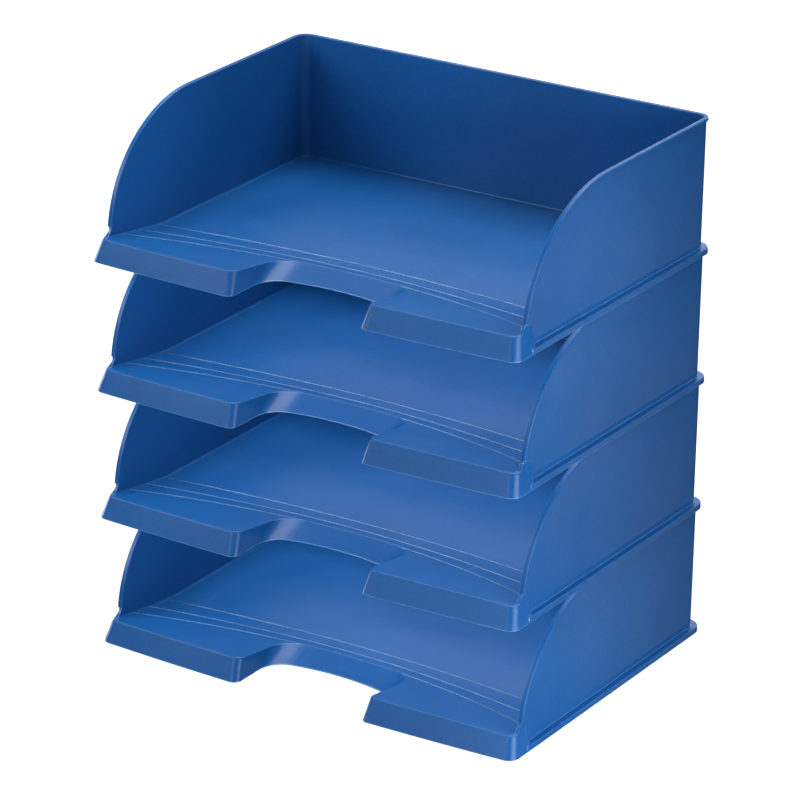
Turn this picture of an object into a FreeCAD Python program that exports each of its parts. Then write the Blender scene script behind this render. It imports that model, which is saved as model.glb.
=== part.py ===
"""Stack of four identical moulded letter trays, each one lifting off the rim of the tray below.

Millimetres. X runs right, Y runs back, Z runs up. The origin is the middle of the footprint on the desk.
"""
import FreeCAD
import Part
import math
import os

# Overall size of one tray and of the stack.
WIDTH = 363.0
DEPTH = 273.0
HEIGHT = 103.0
TRAYS = ("tray_bottom", "tray_second", "tray_third", "tray_top")

# Base flange round the back and both sides: a hollow skirt that drops over the rim of the tray below.
LEDGE_TOP = 4.2
LEDGE_UNDERSIDE = 2.4
SKIRT_WALL = 1.7
FLANGE_CORNER = 13.0
STACK_PITCH = HEIGHT - LEDGE_UNDERSIDE

# Walls, which lean outwards by one degree so the moulding leaves its core.
WALL_SETBACK = 5.2
WALL = 2.2
WALL_CORNER = 7.8
DRAFT = math.tan(math.radians(1.0))

# Rim bead that stiffens the top edge and runs down the curved front edge.
RIM_PROUD = 1.5
RIM_BAND = 2.4
WALL_FRONT_Y = -114.9
RIM_ROUND = 0.8
MOUTH_ROUND = 0.5
LEDGE_ROUND = 0.5

# Side wall outline: level top, elliptical front, hollow sweep into the lip.
TOP_FRONT_Y = -12.0
ELLIPSE_Z = 8.0
ELLIPSE_HALF_Y = 104.0
ELLIPSE_END_Z = 22.0
SWEEP_END_Y = -122.0

# Floor and entry ramp.
FLOOR_TOP = 6.8
FLOOR = 2.0
RAMP_START_Y = -46.0
RAMP_TANGENT_Y = -70.0
RAMP_SLOPE = 0.1395
FLOOR_FILLET = 1.6

# Front chin: a hollow toe that leans back from the desk to the lip.
CHIN_TOP = 21.5
CHIN_WALL = 2.0
FRONT_LEAN = 0.46
SIDE_LEAN = 0.25
FRONT_RADIUS = 3226.0
FRONT_CROWN = 0.6
TOE_CORNER = 8.0
TOE_CORNER_LEAN = 0.12
TOE_END_Y = -111.6
TOE_BLEND_SINK = 0.4
TOE_BLEND_START_Y = -110.4
TOE_BLEND_END_Y = -99.0
LIP_ROUND = 1.1
LIP_END = 9.0

# Finger cut-out, at the desk and just above the ramp.
CUT_RAISE = 2.0
CUT_FLANK = (54.2, 56.8)
CUT_REAR_Y = (-84.4, -63.2)
CUT_REAR_RADIUS = (192.0, 620.0)
CUT_CORNER = (20.0, 19.0)
CUT_NOSE = 6.5
APRON_SETBACK = 4.9

# Three fine ridges across the floor: middle Y and radius of each.
RIDGES = ((-45.3, 1192.0), (-57.4, 673.0), (-66.6, 458.0))
RIDGE_HIGH = 0.45
RIDGE_WIDE = 1.4

# Construction: overrun of cutting bodies, closeness that counts as touching, depth of the outer edge band.
PAST = 20.0
TOUCH = 0.05
OUTER_BAND = 6.0


def vec(x, y, z=0.0):
    return FreeCAD.Vector(x, y, z)


def segments(items):
    """Wire from a list of two-point lines and three-point arcs."""
    edges = []
    for points in items:
        if len(points) == 2:
            edges.append(Part.makeLine(*points))
        else:
            edges.append(Part.Arc(*points).toShape())
    return Part.Wire(edges)


def loft(lower, upper):
    return Part.makeLoft([lower, upper], True, True)


def box(x0, x1, y0, y1, z0, z1):
    return Part.makeBox(x1 - x0, y1 - y0, z1 - z0, vec(x0, y0, z0))


def arc_point(centre, radius, angle):
    return vec(centre[0] + radius * math.cos(angle), centre[1] + radius * math.sin(angle))


def lifted(items, height):
    """Place flat outline points at the height given for their Y."""
    return [[vec(p.x, p.y, height(p.y)) for p in points] for points in items]


def bay(half, rear, front, radius):
    """Outline square at the front and rounded at both rear corners."""
    k = radius * (1 - math.sqrt(0.5))
    return [
        [vec(-half, front), vec(-half, rear - radius)],
        [vec(-half, rear - radius), vec(-half + k, rear - k), vec(-half + radius, rear)],
        [vec(-half + radius, rear), vec(half - radius, rear)],
        [vec(half - radius, rear), vec(half - k, rear - k), vec(half, rear - radius)],
        [vec(half, rear - radius), vec(half, front)],
        [vec(half, front), vec(-half, front)],
    ]


def leaning_block(setback, radius, front, low, high):
    """Rounded block whose three walls lean outwards, set back from the flange plane."""
    wires = []
    for z in (low, high):
        grow = DRAFT * (z - LEDGE_TOP) - setback
        outline = bay(WIDTH / 2 + grow, DEPTH / 2 + grow, front, radius + DRAFT * (z - LEDGE_TOP))
        wires.append(segments(lifted(outline, lambda y: z)))
    return loft(*wires)


def upright_block(setback, radius, front, low, high):
    outline = bay(WIDTH / 2 - setback, DEPTH / 2 - setback, front, radius)
    face = Part.Face(segments(lifted(outline, lambda y: low)))
    return face.extrude(vec(0, 0, high - low))


def side_prism(points):
    """Extrude a side outline, given as lines and arcs in Y and Z, across the whole width."""
    wire = segments([[vec(-WIDTH, y, z) for y, z in item] for item in points])
    return Part.Face(wire).extrude(vec(2 * WIDTH, 0, 0))


def ramp_plane(y):
    """Height of the straight ramp, carried on at the same slope at any Y."""
    blend = RAMP_START_Y - RAMP_TANGENT_Y
    rise = blend * math.tan(math.atan(RAMP_SLOPE) / 2)
    return FLOOR_TOP + rise + RAMP_SLOPE * (RAMP_TANGENT_Y - y)


def above_floor(shift):
    """Everything above the floor and ramp, with that surface moved up by shift."""
    blend = RAMP_START_Y - RAMP_TANGENT_Y
    angle = math.atan(RAMP_SLOPE)
    radius = blend / math.sin(angle)
    half_y = RAMP_START_Y - radius * math.sin(angle / 2)
    half_z = FLOOR_TOP + radius * (1 - math.cos(angle / 2))
    front = -DEPTH / 2 - PAST
    back = DEPTH / 2 + PAST
    top = HEIGHT + PAST
    start = (RAMP_START_Y, FLOOR_TOP + shift)
    tangent = (RAMP_TANGENT_Y, ramp_plane(RAMP_TANGENT_Y) + shift)
    lip = (front, ramp_plane(front) + shift)
    return side_prism([
        [(back, top), (back, FLOOR_TOP + shift)],
        [(back, FLOOR_TOP + shift), start],
        [start, (half_y, half_z + shift), tangent],
        [tangent, lip],
        [lip, (front, top)],
        [(front, top), (back, top)],
    ])


def side_profile(inset):
    """Everything below the side outline, with the outline moved inwards by inset."""
    half_y = ELLIPSE_HALF_Y - inset
    half_z = HEIGHT - ELLIPSE_Z - inset
    turn = math.asin((ELLIPSE_END_Z - ELLIPSE_Z) / (HEIGHT - ELLIPSE_Z))
    centre = vec(-WIDTH, TOP_FRONT_Y, ELLIPSE_Z)
    top = HEIGHT - inset
    crest = vec(-WIDTH, TOP_FRONT_Y, top)
    foot = vec(-WIDTH, TOP_FRONT_Y - half_y * math.cos(turn), ELLIPSE_Z + half_z * math.sin(turn))
    ellipse = Part.Ellipse(centre - vec(0, half_y, 0), crest, centre)
    quarter = ellipse.toShape(ellipse.parameter(foot), ellipse.parameter(crest))
    if inset:
        landing = vec(-WIDTH, foot.y, -PAST)
        tail = [Part.makeLine(foot, landing)]
    else:
        landing = vec(-WIDTH, SWEEP_END_Y, ramp_plane(SWEEP_END_Y))
        far = vec(-WIDTH, -DEPTH / 2 - PAST, ramp_plane(-DEPTH / 2 - PAST))
        sweep = Part.BezierCurve()
        fall = vec(0, -half_y * math.sin(turn), -half_z * math.cos(turn)).normalize()
        along = vec(0, -1, RAMP_SLOPE).normalize()
        sweep.setPoles([foot, foot + fall * 2.2, landing - along * 4.0, landing])
        corner = vec(-WIDTH, far.y, -PAST)
        tail = [sweep.toShape(), Part.makeLine(landing, far), Part.makeLine(far, corner)]
        landing = corner
    back_low = vec(-WIDTH, DEPTH, -PAST)
    back_top = vec(-WIDTH, DEPTH, top)
    edges = [quarter] + tail
    edges.append(Part.makeLine(landing, back_low))
    edges.append(Part.makeLine(back_low, back_top))
    edges.append(Part.makeLine(back_top, crest))
    wire = Part.Wire(Part.__sortEdges__(edges))
    return Part.Face(wire).extrude(vec(2 * WIDTH, 0, 0))


def sweep_curve(start, end):
    """Two equal arcs that leave start and reach end along Y, as the toe fades into the wall."""
    wide = start.x - end.x
    run = end.y - start.y
    radius = (wide ** 2 + run ** 2) / (4 * wide)
    half_turn = math.asin(run / 2 / radius) / 2
    inward = radius * (1 - math.cos(half_turn))
    along = radius * math.sin(half_turn)
    middle = (start + end) * 0.5
    return [
        [start, vec(start.x - inward, start.y + along), middle],
        [middle, vec(end.x + inward, end.y - along), end],
    ]


def chin_block(inset, low):
    """Leaning toe across the front, whose sides sweep back into the walls above each side ledge."""
    wires = []
    for z in (low, CHIN_TOP):
        half = WIDTH / 2 - SIDE_LEAN * z - inset
        crown = -DEPTH / 2 - FRONT_CROWN + FRONT_LEAN * z + inset
        centre = (0.0, crown + FRONT_RADIUS)
        corner = TOE_CORNER - TOE_CORNER_LEAN * z - inset * 0.5
        reach = FRONT_RADIUS - corner
        knee = (half - corner, centre[1] - math.sqrt(reach ** 2 - (half - corner) ** 2))
        angle = math.atan2(knee[1] - centre[1], knee[0])
        meet = arc_point(centre, FRONT_RADIUS, angle)
        turn = arc_point(knee, corner, angle / 2)
        side = vec(half, knee[1])
        sunk = WIDTH / 2 - WALL_SETBACK + DRAFT * (z - LEDGE_TOP) - TOE_BLEND_SINK - inset
        end = vec(min(sunk, half - TOE_BLEND_SINK), TOE_BLEND_END_Y)
        root = WIDTH / 2 - 4 * WALL_SETBACK
        start = vec(half, TOE_BLEND_START_Y)
        right = [[meet, turn, side], [side, start]] + sweep_curve(start, end)
        right += [[end, vec(root, TOE_BLEND_END_Y)], [vec(root, TOE_BLEND_END_Y), vec(root, RAMP_START_Y)]]
        left = [[vec(-p.x, p.y) for p in reversed(item)] for item in reversed(right)]
        front = [[vec(-meet.x, meet.y), vec(0, crown), meet]]
        rear = [[vec(root, RAMP_START_Y), vec(-root, RAMP_START_Y)]]
        wires.append(segments(lifted(front + right + rear + left, lambda y: z)))
    return loft(*wires)


def cut_block(flank_grow, rear_grow):
    """Finger cut-out: flanks, rounded rear corners and a sloping curved apron."""
    front = -DEPTH / 2 - PAST
    wires = []
    for level in (0, 1):
        flank = CUT_FLANK[level] + flank_grow
        radius = CUT_REAR_RADIUS[level]
        rear = CUT_REAR_Y[level] + rear_grow
        corner = CUT_CORNER[level] + flank_grow
        centre = (0.0, rear - radius)
        knee = (flank - corner, centre[1] + math.sqrt((radius - corner) ** 2 - (flank - corner) ** 2))
        angle = math.atan2(knee[1] - centre[1], knee[0])
        meet = arc_point(centre, radius, angle)
        turn = arc_point(knee, corner, angle / 2)
        side = vec(flank, knee[1])
        outline = [
            [vec(flank, front), side],
            [side, turn, meet],
            [meet, vec(0, rear), vec(-meet.x, meet.y)],
            [vec(-meet.x, meet.y), vec(-turn.x, turn.y), vec(-side.x, side.y)],
            [vec(-side.x, side.y), vec(-flank, front)],
            [vec(-flank, front), vec(flank, front)],
        ]
        height = (lambda y: 0.0) if level == 0 else (lambda y: ramp_plane(y) + CUT_RAISE)
        wires.append(segments(lifted(outline, height)))
    return loft(*wires)


def nose_edges(shape):
    """Steep edges where the front face meets the cut-out flanks."""
    found = []
    for edge in shape.Edges:
        ends = [vertex.Point for vertex in edge.Vertexes]
        if len(ends) != 2:
            continue
        tall = abs(ends[0].z - ends[1].z) > 5.0
        near = all(abs(abs(p.x) - CUT_FLANK[0]) < 6.0 and p.y < -DEPTH / 2 + 25.0 for p in ends)
        if tall and near:
            found.append(edge)
    return found


def outline_edges(shape):
    """Long edges that run round the outside of a block, leaving out its upright corner edges."""
    found = []
    for edge in shape.Edges:
        middle = edge.valueAt((edge.FirstParameter + edge.LastParameter) / 2)
        ends = [vertex.Point for vertex in edge.Vertexes]
        outside = abs(middle.x) > WIDTH / 2 - OUTER_BAND or middle.y > DEPTH / 2 - OUTER_BAND
        upright = len(ends) == 2 and math.hypot(ends[0].x - ends[1].x, ends[0].y - ends[1].y) < 4 * TOUCH
        closing = all(p.z < ELLIPSE_END_Z + TOUCH and p.y < 0 for p in ends) and middle.y < TOE_END_Y
        if outside and not upright and not closing:
            found.append(edge)
    return found


def floor_height(y):
    """Height of the floor, the bend and the ramp at any Y."""
    blend = RAMP_START_Y - RAMP_TANGENT_Y
    radius = blend / math.sin(math.atan(RAMP_SLOPE))
    if y > RAMP_START_Y:
        return FLOOR_TOP
    if y > RAMP_TANGENT_Y:
        return FLOOR_TOP + radius - math.sqrt(radius ** 2 - (RAMP_START_Y - y) ** 2)
    return ramp_plane(y)


def sampled(edge):
    """Five points spaced along an edge, its ends included."""
    span = edge.LastParameter - edge.FirstParameter
    return [edge.valueAt(edge.FirstParameter + span * step / 4) for step in range(5)]


def surface_edges(shape, half, back):
    """Edges lying on the floor or ramp, within half of the middle and ahead of back."""
    found = []
    for edge in shape.Edges:
        points = sampled(edge)
        lying = all(abs(p.z - floor_height(p.y)) < TOUCH for p in points)
        if lying and all(abs(p.x) < half and p.y < back for p in points):
            found.append(edge)
    return found


def ridges(room):
    """Fine curved ridges standing on the floor and ramp, kept inside the room between the walls."""
    skin = room.cut(above_floor(RIDGE_HIGH))
    bands = []
    for middle, radius in RIDGES:
        centre = vec(0, middle - radius, -PAST)
        outer = Part.makeCylinder(radius + RIDGE_WIDE / 2, HEIGHT, centre)
        inner = Part.makeCylinder(radius - RIDGE_WIDE / 2, HEIGHT, centre)
        bands.append(outer.cut(inner).common(skin))
    return bands


def base_edges(room):
    """Edges where the floor and ramp meet the side walls and the back wall."""
    found = []
    for edge in surface_edges(room, WIDTH, DEPTH):
        middle = edge.valueAt((edge.FirstParameter + edge.LastParameter) / 2)
        if abs(middle.x) > WIDTH / 3 or middle.y > DEPTH / 3:
            found.append(edge)
    return found


def on_inner_wall(point):
    """Whether a point lies on the inside of the three walls, rounded corners included."""
    side = WIDTH / 2 - WALL_SETBACK - WALL + DRAFT * (point.z - LEDGE_TOP)
    rear = side + (DEPTH - WIDTH) / 2
    flat = abs(abs(point.x) - side) < TOUCH or abs(point.y - rear) < TOUCH
    corner = abs(point.x) > side - WALL_CORNER and point.y > rear - WALL_CORNER
    inside = abs(point.x) < side + TOUCH and point.y < rear + TOUCH
    return inside and (flat or corner)


def mouth_edges(shell):
    """Inner edges of the rim, from the foot of one side wall round the back to the other."""
    found = []
    for edge in shell.Edges:
        points = sampled(edge)
        upright = math.hypot(points[0].x - points[-1].x, points[0].y - points[-1].y) < 2.0
        high = min(p.z for p in points) > ELLIPSE_END_Z - TOUCH
        if high and not upright and all(on_inner_wall(p) for p in points):
            found.append(edge)
    return found


def tray():
    """One tray on the desk: walls, flange, rim, toe and ridges, then the hollow from below."""
    front = -DEPTH / 2 - PAST
    profile = side_profile(0)
    cut_out = cut_block(0, 0)
    inner = WALL_SETBACK + WALL
    inner_corner = WALL_CORNER - WALL

    sharp_room = leaning_block(inner, inner_corner, front, 0.0, HEIGHT + PAST).common(above_floor(0))
    room = sharp_room.makeFillet(FLOOR_FILLET, base_edges(sharp_room))

    toe = chin_block(0, 0.0).cut(cut_out)
    toe = toe.makeFillet(CUT_NOSE, nose_edges(toe))
    toe = toe.common(profile).cut(room)
    toe = toe.makeFillet(LIP_ROUND, surface_edges(toe, WIDTH / 2 - LIP_END, RAMP_START_Y))

    walls = leaning_block(WALL_SETBACK, WALL_CORNER, WALL_FRONT_Y, 0.0, HEIGHT)
    flange = upright_block(0, FLANGE_CORNER, TOE_END_Y, 0.0, LEDGE_TOP)
    ledge = [edge for edge in outline_edges(flange) if edge.BoundBox.ZMin > LEDGE_UNDERSIDE]
    flange = flange.makeFillet(LEDGE_ROUND, ledge)
    rim = leaning_block(WALL_SETBACK - RIM_PROUD, WALL_CORNER + RIM_PROUD, front, ELLIPSE_END_Z, HEIGHT)
    rim = rim.common(profile).cut(side_profile(RIM_BAND))
    rim = rim.makeFillet(RIM_ROUND, outline_edges(rim))
    bay_room = box(-WIDTH / 3, WIDTH / 3, front, RAMP_TANGENT_Y + 10.0, -PAST, CHIN_TOP)
    shell = walls.fuse(flange).cut(bay_room).common(profile).fuse(rim).cut(room)
    shell = shell.makeFillet(MOUTH_ROUND, mouth_edges(shell))
    body = shell.fuse(toe)

    hollow = leaning_block(inner, inner_corner, TOE_END_Y + 2.0, 0.0, LEDGE_TOP + PAST)
    pocket = upright_block(SKIRT_WALL, FLANGE_CORNER - SKIRT_WALL, TOE_END_Y, 0.0, LEDGE_UNDERSIDE)
    hollow = hollow.fuse([pocket, chin_block(CHIN_WALL, 0.0)])
    hollow = hollow.cut(cut_block(CHIN_WALL, APRON_SETBACK))
    hollow = hollow.makeFillet(CUT_NOSE - CHIN_WALL, nose_edges(hollow))
    hollow = hollow.cut(above_floor(-FLOOR))
    body = body.cut(hollow)
    body = body.fuse([band.cut(cut_out) for band in ridges(sharp_room)])
    return body.removeSplitter()


os.makedirs("parts", exist_ok=True)
shape = tray()
for level, name in enumerate(TRAYS):
    placed = shape.copy()
    placed.translate(vec(0, 0, level * STACK_PITCH))
    placed.exportStep("parts/" + name + ".step")
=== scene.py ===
"""Looks of a stack of blue letter trays: moulded plastic, pale floor, soft studio light and camera."""

import math

import bpy
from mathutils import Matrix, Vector


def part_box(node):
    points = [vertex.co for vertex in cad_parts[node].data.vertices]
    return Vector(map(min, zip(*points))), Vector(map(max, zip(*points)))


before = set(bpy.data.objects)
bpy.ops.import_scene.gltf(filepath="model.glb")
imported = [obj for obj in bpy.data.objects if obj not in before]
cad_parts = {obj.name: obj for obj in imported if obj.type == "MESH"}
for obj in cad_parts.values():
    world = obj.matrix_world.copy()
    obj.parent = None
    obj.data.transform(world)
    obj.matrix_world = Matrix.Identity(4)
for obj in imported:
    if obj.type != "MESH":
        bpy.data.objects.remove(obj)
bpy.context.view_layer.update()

TRAYS = ("tray_bottom", "tray_second", "tray_third", "tray_top")

# Blues in linear light, darkest first, and where they sit on the slow drift of colour.
DRIFT_STOPS = (0.30, 0.52, 0.75)
LEVEL_BLUES = ((0.004, 0.076, 0.262), (0.005, 0.086, 0.292), (0.006, 0.096, 0.322))
# Upright blues carry extra red: a painted grey veil of light that level faces lack.
UPRIGHT_VEILED_BLUES = ((0.007, 0.076, 0.258), (0.009, 0.087, 0.292), (0.011, 0.098, 0.326))
SPECK_SHADES = ((0.30, 0.90), (0.70, 1.10))

# A face counts as upright while its normal's Z is under the first limit, and as level over the second.
UPRIGHT_LIMIT = 0.94
LEVEL_LIMIT = 0.98

# Finish of upright faces, which are textured, then of level faces, which are polished.
SPECULAR_LEVEL = (0.21, 0.42)
GRAIN_STRENGTH = (0.16, 0.05)
UPRIGHT_ROUGHNESS = ((0.25, 0.27), (0.80, 0.37))
LEVEL_ROUGHNESS = ((0.25, 0.28), (0.80, 0.38))
SCUFF_ROUGHNESS = ((0.60, 0.0), (0.72, 0.05))
GRAIN_DEPTH = 0.0002
PLASTIC_IOR = 1.52

# Edges: rounding of the shading, and rubbing with a painted highlight of lighter blue, found where the
# rounded normal leaves the flat one, on hollow edges as well as ridges.
EDGE_RADIUS = 0.0006
EDGE_SAMPLES = 6
HIGHLIGHT_WEAR_RADIUS = 0.0012
HIGHLIGHT_WEAR_SAMPLES = 8
HIGHLIGHT_WEAR_BY_MATCH = ((0.84, 1.0), (0.992, 0.0))
HIGHLIGHT_WEAR_PATCHES = ((0.35, 0.60), (0.65, 1.0))
HIGHLIGHT_WEAR_STRENGTH = 0.75
WEAR_POLISH = 0.2
# Painted highlight: the lighter blue laid on edges, partly standing for rubbing.
PAINTED_HIGHLIGHT_BLUE = (0.150, 0.360, 0.720)

# Noise patterns: repeats to the metre, detail and roughness. Scratches are noise stretched along Y.
DRIFT_NOISE = (8.0, 3.0, 0.45)
SPECK_NOISE = (420.0, 3.0, 0.7)
PATCH_NOISE = (70.0, 3.0, 0.6)
SMEAR_NOISE = (22.0, 5.0, 0.6)
GRAIN_NOISE = (1100.0, 2.0, 0.5)
SCRATCH_NOISE = (1.0, 2.0, 0.5)
SCRATCH_STRETCH = (700.0, 14.0, 60.0)

# Floor: side length, grey level, roughness and glow.
FLOOR_SIZE = 14.0
FLOOR_GREY = 0.92
FLOOR_ROUGHNESS = 0.9
FLOOR_GLOW = 0.85

# Camera: place, heading left of +Y, tilt below level, focal length on a 36 mm sensor, and far limit.
CAMERA_AT = (1.638, -2.472, 1.403)
CAMERA_HEADING = 33.55
CAMERA_TILT = 22.25
CAMERA_LENS = 197.2
CAMERA_SENSOR = 36.0
CAMERA_FAR = 50.0

# Softboxes: place and target above the foot of what they light, size and power.
SOFTBOXES = (
    ("overhead", (0.05, 0.62, 1.80), (0.0, 0.0, 0.0), (1.4, 1.2), 41.0),
    ("back", (-0.90, 1.40, 1.60), (0.0, 0.0, 0.0), (1.6, 1.2), 8.5),
    ("front", (-0.30, -2.00, 0.62), (0.0, 0.0, 0.05), (0.55, 0.55), 7.0),
    ("lip_box", (-0.50, -0.55, 0.42), (0.0, -0.12, 0.0), (0.35, 0.30), 2.6),
    ("side", (0.52, -0.20, 0.07), (0.18, -0.06, 0.04), (0.30, 0.25), 2.0),
    ("left_fill", (-1.25, 0.35, 0.05), (-0.18, 0.0, 0.04), (1.2, 0.5), 10.0),
    ("rear_fill", (-0.25, 1.35, 0.05), (0.0, 0.13, 0.04), (1.2, 0.5), 10.0),
    ("corner_card", (0.32, -1.50, -0.54), (0.17, -0.13, 0.02), (0.12, 0.50), 5.5),
    ("low_card", (0.69, 0.74, -0.33), (0.18, -0.03, 0.04), (0.16, 0.16), 0.16),
)
FLOOR_BOX = ("floor_box", (0.0, 0.0, 2.60), (0.0, 0.0, 0.0), (3.0, 3.0), 26.0)

# Surroundings: grey level from straight down, at 0, through the horizon, at 0.5, to straight up, at 1.
SURROUNDINGS = ((0.40, 0.03), (0.58, 0.09), (0.78, 0.24), (1.0, 0.30))

# Sockets of a Mix node by data type: factor, first value, second value, and result.
MIX_SOCKETS = {"FLOAT": (0, 2, 3, 0), "RGBA": (0, 6, 7, 2)}


def opaque(colour):
    """Colour or grey level with full alpha."""
    return (*colour, 1.0) if isinstance(colour, tuple) else (colour, colour, colour, 1.0)


def node(tree, kind, **values):
    """New shader node with its inputs set by name."""
    made = tree.nodes.new(kind)
    for name, value in values.items():
        made.inputs[name].default_value = value
    return made


def ramp(tree, factor, stops):
    """Result of a colour ramp whose stops are (position, colour or grey level)."""
    made = tree.nodes.new("ShaderNodeValToRGB")
    elements = made.color_ramp.elements
    while len(elements) < len(stops):
        elements.new(0.5)
    for element, (position, colour) in zip(elements, stops):
        element.position = position
        element.color = opaque(colour)
    tree.links.new(factor, made.inputs["Fac"])
    return made.outputs["Color"]


def fill(tree, socket, value):
    """Link a socket to another one, or give it a number or a colour."""
    if isinstance(value, bpy.types.NodeSocket):
        tree.links.new(value, socket)
    else:
        socket.default_value = opaque(value) if isinstance(value, tuple) else value


def math_node(tree, operation, *inputs):
    """Result of a maths node whose inputs are sockets or numbers."""
    made = tree.nodes.new("ShaderNodeMath")
    made.operation = operation
    for socket, value in zip(made.inputs, inputs):
        fill(tree, socket, value)
    return made.outputs[0]


def vector_node(tree, operation, result, first, second):
    """Named result of a vector maths node whose inputs are sockets."""
    made = tree.nodes.new("ShaderNodeVectorMath")
    made.operation = operation
    tree.links.new(first, made.inputs[0])
    tree.links.new(second, made.inputs[1])
    return made.outputs[result]


def mix(tree, kind, factor, first, second):
    """Mix of two colours or two floats by a factor socket."""
    made = tree.nodes.new("ShaderNodeMix")
    made.data_type = kind
    *inputs, result = MIX_SOCKETS[kind]
    for index, value in zip(inputs, (factor, first, second)):
        fill(tree, made.inputs[index], value)
    return made.outputs[result]


def noise(tree, spot, pattern):
    """Noise by place, where a pattern is scale, detail and roughness."""
    scale, detail, roughness = pattern
    made = node(tree, "ShaderNodeTexNoise", Scale=scale, Detail=detail, Roughness=roughness)
    tree.links.new(spot, made.inputs["Vector"])
    return made.outputs["Fac"]


def bevel(tree, radius, samples):
    """Normal rounded over the edges by a radius."""
    made = node(tree, "ShaderNodeBevel", Radius=radius)
    made.samples = samples
    return made.outputs["Normal"]


def level_mask(tree, normal):
    """1 on level faces and 0 on upright and sloping ones."""
    facing = tree.nodes.new("ShaderNodeSeparateXYZ")
    tree.links.new(normal, facing.inputs[0])
    steep = math_node(tree, "ABSOLUTE", facing.outputs["Z"])
    return ramp(tree, steep, ((UPRIGHT_LIMIT, 0.0), (LEVEL_LIMIT, 1.0)))


def edge_highlight_and_wear(tree, spot):
    """How far each edge, hollow or ridged, carries rubbing and the painted highlight, in patches."""
    flat = tree.nodes.new("ShaderNodeNewGeometry")
    rounded = bevel(tree, HIGHLIGHT_WEAR_RADIUS, HIGHLIGHT_WEAR_SAMPLES)
    match = vector_node(tree, "DOT_PRODUCT", "Value", rounded, flat.outputs["Normal"])
    edge = ramp(tree, match, HIGHLIGHT_WEAR_BY_MATCH)
    patches = ramp(tree, noise(tree, spot, PATCH_NOISE), HIGHLIGHT_WEAR_PATCHES)
    highlit_and_worn = math_node(tree, "MULTIPLY", edge, patches)
    return math_node(tree, "MULTIPLY", highlit_and_worn, HIGHLIGHT_WEAR_STRENGTH)


def plastic_colour(tree, spot, level, highlit_and_worn):
    """Blue that drifts slowly, with fine specks, greyer on upright faces by a painted grey veil, and
    lighter on edges by rubbing and a painted highlight.
    """
    drift = noise(tree, spot, DRIFT_NOISE)
    upright_veiled_blue = ramp(tree, drift, tuple(zip(DRIFT_STOPS, UPRIGHT_VEILED_BLUES)))
    level_blue = ramp(tree, drift, tuple(zip(DRIFT_STOPS, LEVEL_BLUES)))
    # Upright faces get the greyer blue: a painted grey veil of light.
    body = mix(tree, "RGBA", level, upright_veiled_blue, level_blue)
    specks = ramp(tree, noise(tree, spot, SPECK_NOISE), SPECK_SHADES)
    body = vector_node(tree, "MULTIPLY", "Vector", body, specks)
    # Edges turn lighter blue: partly rubbing, partly a painted highlight.
    return mix(tree, "RGBA", highlit_and_worn, body, PAINTED_HIGHLIGHT_BLUE)


def plastic_roughness(tree, spot, level, highlit_and_worn):
    """Roughness with smears and scuffs, smoother on rubbed edges."""
    smear = noise(tree, spot, SMEAR_NOISE)
    upright_sheen = ramp(tree, smear, UPRIGHT_ROUGHNESS)
    level_sheen = ramp(tree, smear, LEVEL_ROUGHNESS)
    sheen = mix(tree, "RGBA", level, upright_sheen, level_sheen)
    stretch = node(tree, "ShaderNodeMapping", Scale=SCRATCH_STRETCH)
    tree.links.new(spot, stretch.inputs["Vector"])
    scuffs = ramp(tree, noise(tree, stretch.outputs["Vector"], SCRATCH_NOISE), SCUFF_ROUGHNESS)
    rough = math_node(tree, "ADD", sheen, scuffs)
    return math_node(tree, "SUBTRACT", rough, math_node(tree, "MULTIPLY", highlit_and_worn, WEAR_POLISH))


def plastic_normal(tree, spot, level):
    """Rounded edges under a fine moulded grain."""
    bump = node(tree, "ShaderNodeBump", Distance=GRAIN_DEPTH)
    tree.links.new(mix(tree, "FLOAT", level, *GRAIN_STRENGTH), bump.inputs["Strength"])
    tree.links.new(noise(tree, spot, GRAIN_NOISE), bump.inputs["Height"])
    tree.links.new(bevel(tree, EDGE_RADIUS, EDGE_SAMPLES), bump.inputs["Normal"])
    return bump.outputs["Normal"]


def plastic():
    """Injection-moulded polystyrene: polished floor, textured walls with a painted grey veil, rubbed edges
    with a painted highlight, and sliding scuffs.
    """
    material = bpy.data.materials.new("blue_plastic")
    material.use_nodes = True
    tree = material.node_tree
    shader = tree.nodes["Principled BSDF"]
    place = node(tree, "ShaderNodeTexCoord")
    spot = place.outputs["Object"]
    level = level_mask(tree, place.outputs["Normal"])
    highlit_and_worn = edge_highlight_and_wear(tree, spot)
    gloss = math_node(tree, "ADD", mix(tree, "FLOAT", level, *SPECULAR_LEVEL), highlit_and_worn)
    tree.links.new(plastic_colour(tree, spot, level, highlit_and_worn), shader.inputs["Base Color"])
    tree.links.new(plastic_roughness(tree, spot, level, highlit_and_worn), shader.inputs["Roughness"])
    tree.links.new(plastic_normal(tree, spot, level), shader.inputs["Normal"])
    tree.links.new(gloss, shader.inputs["Specular IOR Level"])
    shader.inputs["IOR"].default_value = PLASTIC_IOR
    return material


def floor_paint():
    """Matt white floor that glows a little, so that it reads as a seamless pale sweep."""
    material = bpy.data.materials.new("floor_paint")
    material.use_nodes = True
    shader = material.node_tree.nodes["Principled BSDF"]
    shader.inputs["Base Color"].default_value = opaque(FLOOR_GREY)
    shader.inputs["Roughness"].default_value = FLOOR_ROUGHNESS
    shader.inputs["Emission Color"].default_value = opaque(1.0)
    shader.inputs["Emission Strength"].default_value = FLOOR_GLOW
    return material


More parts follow.
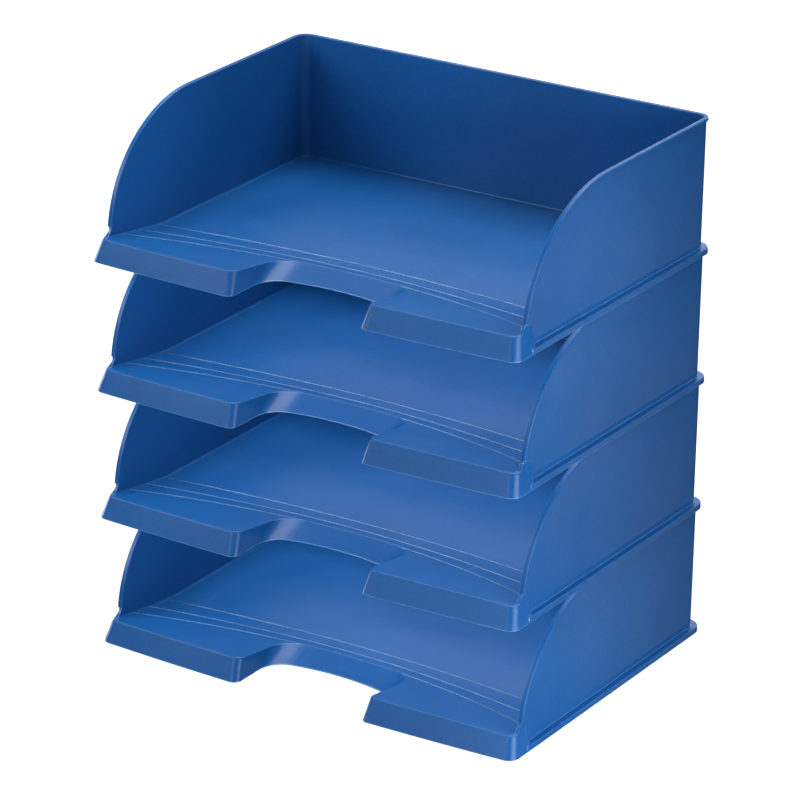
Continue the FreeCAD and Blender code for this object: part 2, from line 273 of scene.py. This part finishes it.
def softbox(name, lift, only, place, target, size, power):
    """Area light for one object, raised by lift. A tray's light is shaded only by that tray."""
    data = bpy.data.lights.new(name, "AREA")
    data.shape = "RECTANGLE"
    data.size, data.size_y = size
    data.energy = power
    light = bpy.data.objects.new(name, data)
    bpy.context.scene.collection.objects.link(light)
    light.location = Vector(place) + Vector((0, 0, lift))
    light.rotation_euler = (Vector(target) - Vector(place)).to_track_quat("-Z", "Y").to_euler()
    light.visible_camera = False
    group = bpy.data.collections.new(name)
    group.objects.link(only)
    light.light_linking.receiver_collection = group
    if only.name in TRAYS:
        light.light_linking.blocker_collection = group


def camera():
    """Long lens that looks down on the front right of the stack."""
    data = bpy.data.cameras.new("camera")
    data.lens = CAMERA_LENS
    data.sensor_width = CAMERA_SENSOR
    data.clip_end = CAMERA_FAR
    eye = bpy.data.objects.new("camera", data)
    bpy.context.scene.collection.objects.link(eye)
    eye.location = CAMERA_AT
    eye.rotation_euler = (math.radians(90 - CAMERA_TILT), 0.0, math.radians(CAMERA_HEADING))
    bpy.context.scene.camera = eye


def surroundings():
    """World whose grey level rises from the ground to the sky."""
    world = bpy.data.worlds.new("studio")
    world.use_nodes = True
    tree = world.node_tree
    direction = node(tree, "ShaderNodeTexCoord")
    height = tree.nodes.new("ShaderNodeSeparateXYZ")
    tree.links.new(direction.outputs["Generated"], height.inputs[0])
    lifted = math_node(tree, "MULTIPLY_ADD", height.outputs["Z"], 0.5, 0.5)
    tree.links.new(ramp(tree, lifted, SURROUNDINGS), tree.nodes["Background"].inputs["Color"])
    return world


def studio():
    """Pale floor, which lights no tray, graded surroundings, and a like set of softboxes for each tray."""
    bpy.ops.mesh.primitive_plane_add(size=FLOOR_SIZE, location=(0, 0, 0))
    floor = bpy.context.object
    floor.name = "floor"
    floor.data.materials.append(floor_paint())
    floor.visible_glossy = False
    floor.visible_diffuse = False

    scene = bpy.context.scene
    scene.world = surroundings()
    scene.view_settings.view_transform = "Standard"
    scene.view_settings.look = "None"
    for name in TRAYS:
        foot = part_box(name)[0][2]
        for kind, *setting in SOFTBOXES:
            softbox(kind + "_" + name, foot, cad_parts[name], *setting)
    kind, *setting = FLOOR_BOX
    softbox(kind, 0.0, floor, *setting)


blue = plastic()
for name in TRAYS:
    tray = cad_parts[name]
    tray.data.materials.clear()
    tray.data.materials.append(blue)

studio()
camera()
